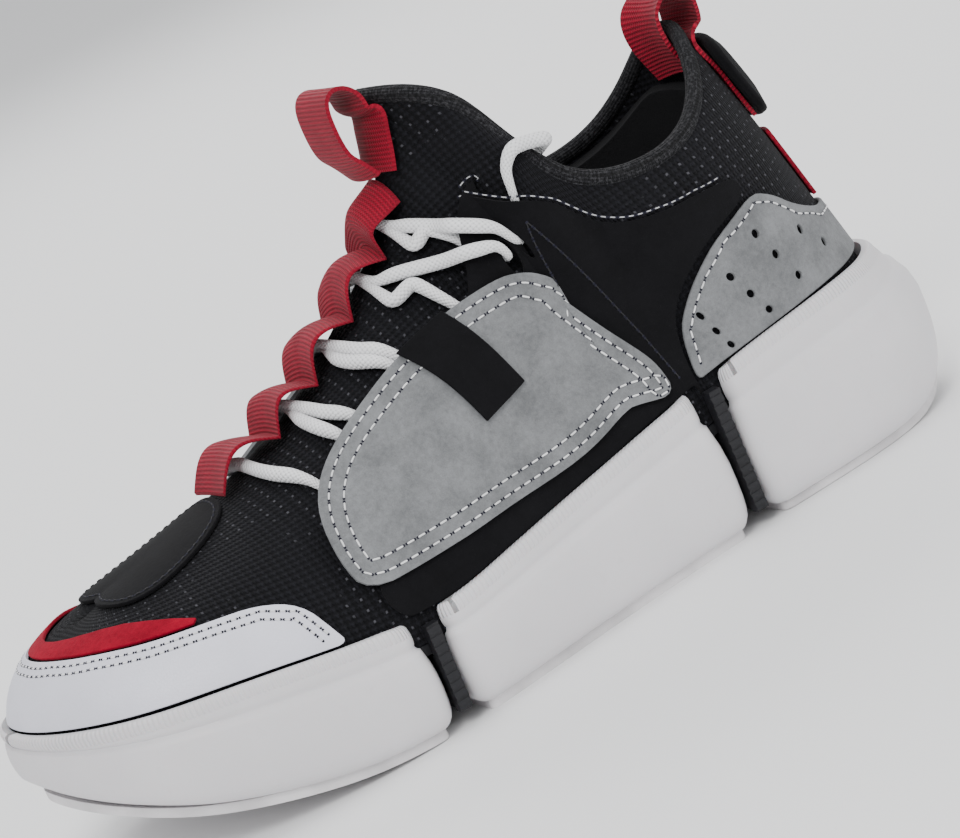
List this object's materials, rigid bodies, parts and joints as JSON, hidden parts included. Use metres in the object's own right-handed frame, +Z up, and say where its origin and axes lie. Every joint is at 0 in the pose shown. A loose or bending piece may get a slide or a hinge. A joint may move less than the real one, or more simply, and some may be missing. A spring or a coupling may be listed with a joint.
{
  "type": "high-top basketball shoe",
  "caption": "Left high-top basketball shoe with a split foam sole, knit sock upper, suede side wings, webbing strap and pull loops, and a white lace.",
  "frame": {"origin": "On the floor under the middle of the sole's outline", "axes": "+X from the toe to the heel, +Y to the inner (medial) side, +Z up"},
  "size_m": [0.301, 0.1096, 0.1619],
  "materials": {
    "foam": "satin moulded foam",
    "outsole_rubber": "matt moulded rubber",
    "black_rubber": "matt moulded rubber",
    "knit": "fine rib knit",
    "black_suede": "short suede nap",
    "grey_suede": "short suede nap",
    "white_leather": "smooth satin",
    "red_suede": "short suede nap",
    "red_webbing": "ribbed webbing",
    "lace_white": "round braid",
    "lining": "brushed textile",
    "board": "matt fibreboard",
    "clear_tip": "clear moulded tip"
  },
  "bodies": {
    "shoe": {"forefoot_block": "foam", "midfoot_block": "foam", "heel_block": "foam", "forefoot_outsole": "outsole_rubber", "midfoot_outsole": "outsole_rubber", "heel_outsole": "outsole_rubber", "front_flex_rib": "black_rubber", "rear_flex_rib": "black_rubber", "carrier_plate": "black_rubber", "lasting_board": "board", "sock_liner": "lining", "knit_bootie": "knit", "collar_binding": "knit", "collar_lining": "lining", "lateral_quarter": "black_suede", "medial_quarter": "black_suede", "toe_bumper": "white_leather", "toe_accent": "red_suede", "toe_overlay": "black_suede", "heel_counter": "grey_suede", "heel_tab": "black_suede", "heel_strip": "red_webbing", "instep_strap": "red_webbing", "heel_pull_loop": "red_webbing", "lace": "lace_white", "lace_end_lateral": "lace_white", "lace_end_medial": "lace_white", "aglet_lateral": "clear_tip", "aglet_medial": "clear_tip"},
    "lateral_wing": {"lateral_wing": "grey_suede", "lateral_tab": "black_suede"},
    "medial_wing": {"medial_wing": "grey_suede", "medial_tab": "black_suede"},
    "tongue_loop": {"tongue_pull_loop": "red_webbing"}
  },
  "joints": [
    {"name": "lateral_wing_hinge", "type": "hinge", "parent": "shoe", "child": "lateral_wing", "pos_m": [0.01315, -0.04127, 0.04181], "axis": [0.995, 0.0913, 0.0405], "range_deg": [0, 20], "stiffness_Nm_per_rad": 0.05},
    {"name": "medial_wing_hinge", "type": "hinge", "parent": "shoe", "child": "medial_wing", "pos_m": [0.01168, 0.03507, 0.04162], "axis": [-0.995, 0.0927, -0.0384], "range_deg": [0, 20], "stiffness_Nm_per_rad": 0.05},
    {"name": "tongue_loop_hinge", "type": "hinge", "parent": "shoe", "child": "tongue_loop", "pos_m": [0.01309, 0.00166, 0.13432], "axis": [0, -1, 0], "range_deg": [0, 20], "stiffness_Nm_per_rad": 0.02}
  ]
}
